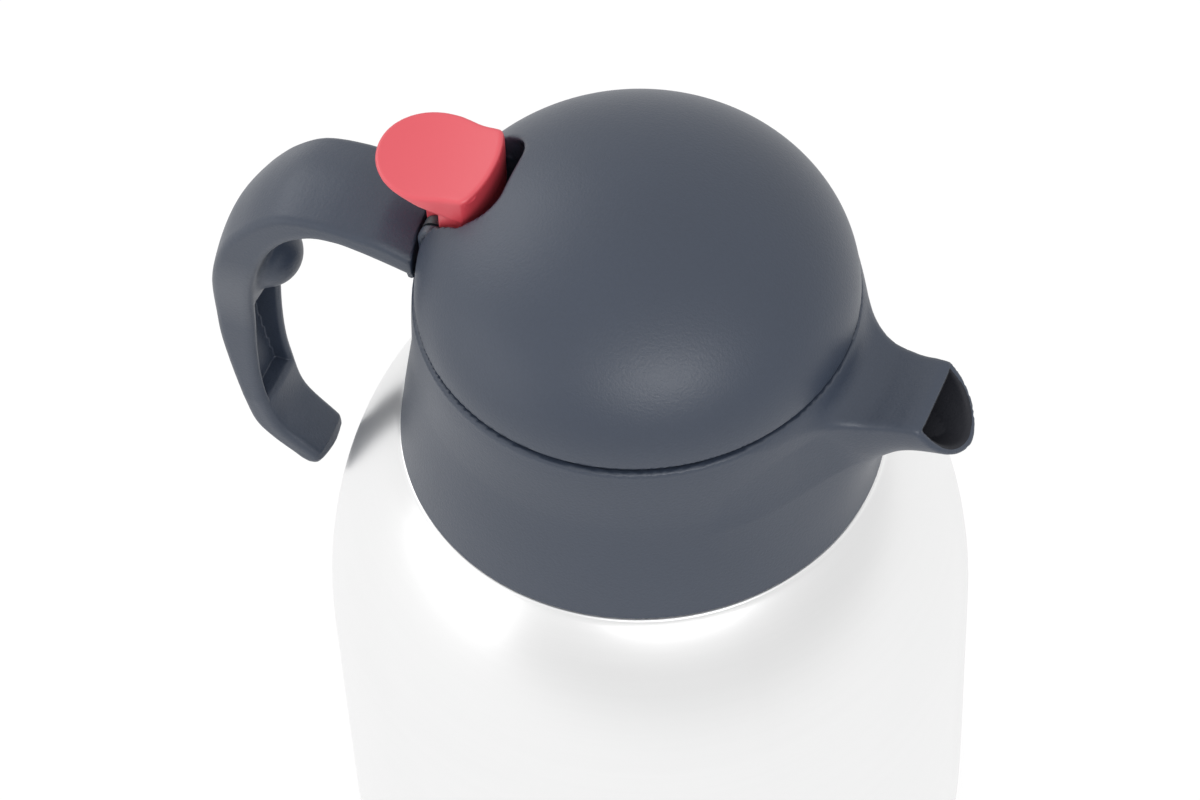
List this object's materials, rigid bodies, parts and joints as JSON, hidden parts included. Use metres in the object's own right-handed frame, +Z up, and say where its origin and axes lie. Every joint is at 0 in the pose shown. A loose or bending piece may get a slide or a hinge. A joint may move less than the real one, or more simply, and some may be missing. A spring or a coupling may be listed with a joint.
{
  "type": "thermal carafe",
  "caption": "Insulated serving carafe with a steel body, a hook handle, a covered spout and a domed lid that a thumb lever lifts and that tips back for filling.",
  "frame": {"origin": "centre of the rubber foot, on the table, on the vessel's axis", "axes": "+Z up along the vessel's axis, +X towards the spout, -X towards the handle"},
  "size_m": [0.1767, 0.1442, 0.232],
  "materials": {
    "outer_jacket": "circumferentially brushed",
    "base_cup": "fine grain",
    "base_pad": "smooth",
    "flask_outer_glass": "silvered inside",
    "flask_inner_glass": "silvered outside",
    "glass_spacers": "felted",
    "flask_cushion": "smooth",
    "neck_seal": "smooth",
    "clamp_ring": "moulded",
    "collar": "fine spark-eroded grain",
    "handle": "fine spark-eroded grain",
    "handle_screws": "zinc plated",
    "hinge_pin": "ground",
    "lever_spring": "drawn wire",
    "thumb_lever": "soft satin",
    "lid_dome": "fine spark-eroded grain",
    "lid_liner": "moulded",
    "lid_screws": "zinc plated",
    "stopper_cone": "moulded",
    "stopper_foam": "foam",
    "stopper_gasket": "smooth"
  },
  "bodies": {
    "carafe": {"outer_jacket": "outer_jacket", "base_cup": "base_cup", "base_pad": "base_pad", "flask_outer_glass": "flask_outer_glass", "flask_inner_glass": "flask_inner_glass", "glass_spacers": "glass_spacers", "flask_cushion": "flask_cushion", "neck_seal": "neck_seal", "clamp_ring": "clamp_ring", "collar": "collar", "handle": "handle", "handle_screws": "handle_screws", "hinge_pin": "hinge_pin", "lever_spring": "lever_spring"},
    "lever": {"thumb_lever": "thumb_lever"},
    "lid": {"lid_dome": "lid_dome", "lid_liner": "lid_liner", "lid_screws": "lid_screws", "stopper_cone": "stopper_cone", "stopper_foam": "stopper_foam", "stopper_gasket": "stopper_gasket"}
  },
  "joints": [
    {"name": "lever_press", "type": "hinge", "parent": "carafe", "child": "lever", "pos_m": [-0.043, 0, 0.205], "axis": [0, -1, 0], "range_deg": [0, 32], "stiffness_Nm_per_rad": 0.25, "springref_deg": -20.05},
    {"name": "lid_flip", "type": "hinge", "parent": "lever", "child": "lid", "pos_m": [-0.043, 0, 0.205], "axis": [0, -1, 0], "range_deg": [0, 45]}
  ]
}
